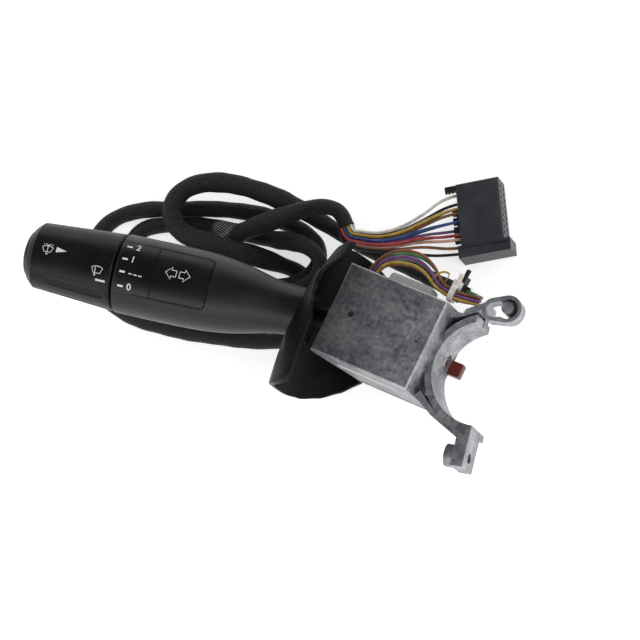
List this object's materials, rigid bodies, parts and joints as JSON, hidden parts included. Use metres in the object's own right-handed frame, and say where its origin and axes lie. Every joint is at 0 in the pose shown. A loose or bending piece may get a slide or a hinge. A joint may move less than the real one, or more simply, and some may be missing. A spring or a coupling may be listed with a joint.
{
  "type": "combination stalk switch",
  "caption": "Steering-column stalk switch: sprung lever with rotary end knob and push button, cast column saddle, cowl, and sleeved harness with plug.",
  "frame": {"origin": "centre of the column clamp's half bore, at mid-depth", "axes": "+Z along the steering column towards the driver, +X from the lever towards the column, floor-level harness below in -Z"},
  "size_m": [0.2482, 0.1494, 0.0873],
  "materials": {
    "casting": "as-cast, matt",
    "black_plastic": "fine grain",
    "soft_black": "fine grain",
    "knob_black": "fine grain",
    "button_black": "matt",
    "plate_black": "satin",
    "connector_grey": "fine grain",
    "grey_plastic": "matt",
    "red_plastic": "matt",
    "steel": "turned",
    "zinc_steel": "zinc plated",
    "sleeve": "braided sleeve",
    "tie_black": "moulded nylon",
    "tie_natural": "natural nylon",
    "wire_white": "PVC insulation",
    "wire_dark_violet": "PVC insulation",
    "wire_dark_green": "PVC insulation",
    "wire_blue": "PVC insulation",
    "wire_light_green": "PVC insulation",
    "wire_red": "PVC insulation",
    "wire_salmon": "PVC insulation",
    "wire_copper": "PVC insulation",
    "wire_black": "PVC insulation",
    "wire_brown": "PVC insulation",
    "wire_green": "PVC insulation",
    "wire_violet": "PVC insulation",
    "wire_grey": "PVC insulation",
    "wire_yellow": "PVC insulation"
  },
  "bodies": {
    "base": {"housing": "casting", "back_cover": "black_plastic", "cover_screw_1": "zinc_steel", "cover_screw_2": "zinc_steel", "cover_screw_3": "zinc_steel", "cover_screw_4": "zinc_steel", "cable_outlet": "black_plastic", "terminal_cover": "grey_plastic", "finger_pin": "steel", "guide_pin": "steel", "tie_1": "tie_natural", "tie_2": "tie_black", "connector_housing": "connector_grey", "connector_lock": "black_plastic", "connector_latch": "black_plastic", "harness_sleeve": "sleeve", "plug_wire_01": "wire_white", "plug_wire_02": "wire_dark_violet", "plug_wire_03": "wire_dark_green", "plug_wire_04": "wire_yellow", "plug_wire_05": "wire_brown", "plug_wire_06": "wire_blue", "plug_wire_07": "wire_blue", "plug_wire_08": "wire_violet", "plug_wire_09": "wire_light_green", "plug_wire_10": "wire_red", "plug_wire_11": "wire_salmon", "plug_wire_12": "wire_copper", "plug_wire_13": "wire_black", "switch_wire_brown": "wire_brown", "switch_wire_green": "wire_green", "switch_wire_violet": "wire_violet", "switch_wire_grey": "wire_grey", "switch_wire_yellow": "wire_yellow", "switch_wire_thin": "wire_brown"},
    "carrier": {"carrier": "black_plastic", "flash_pin": "steel", "detent_plunger": "steel", "detent_spring": "steel"},
    "lever": {"lever_root": "steel", "stalk_body": "soft_black", "cowl": "soft_black", "arrow_plate": "plate_black", "scale_plate": "plate_black"},
    "knob": {"knob": "knob_black"},
    "button": {"end_button": "button_black"},
    "finger": {"cancel_finger": "red_plastic"}
  },
  "joints": [
    {"name": "turn_signal", "type": "hinge", "parent": "base", "child": "carrier", "pos_m": [-0.06626, 0.0153, 0.001], "axis": [0, 0, 1], "range_deg": [-12, 12]},
    {"name": "flash", "type": "hinge", "parent": "carrier", "child": "lever", "pos_m": [-0.06626, 0.0153, 0.001], "axis": [0.225, 0.9744, 0], "range_deg": [-6, 8], "stiffness_Nm_per_rad": 4},
    {"name": "knob_turn", "type": "hinge", "parent": "lever", "child": "knob", "pos_m": [-0.20298, 0.01673, 0.03106], "axis": [-0.9766, 0.0102, 0.2147], "range_deg": [0, 59]},
    {"name": "washer_button", "type": "slide", "parent": "knob", "child": "button", "axis": [0.9766, -0.0102, -0.2147], "range_m": [0, 0.003], "stiffness_N_per_m": 800},
    {"name": "cancel_finger", "type": "hinge", "parent": "base", "child": "finger", "pos_m": [-0.03227, 0.00694, -0.013], "axis": [0, 0, 1], "range_deg": [-12, 12], "stiffness_Nm_per_rad": 0.03}
  ]
}
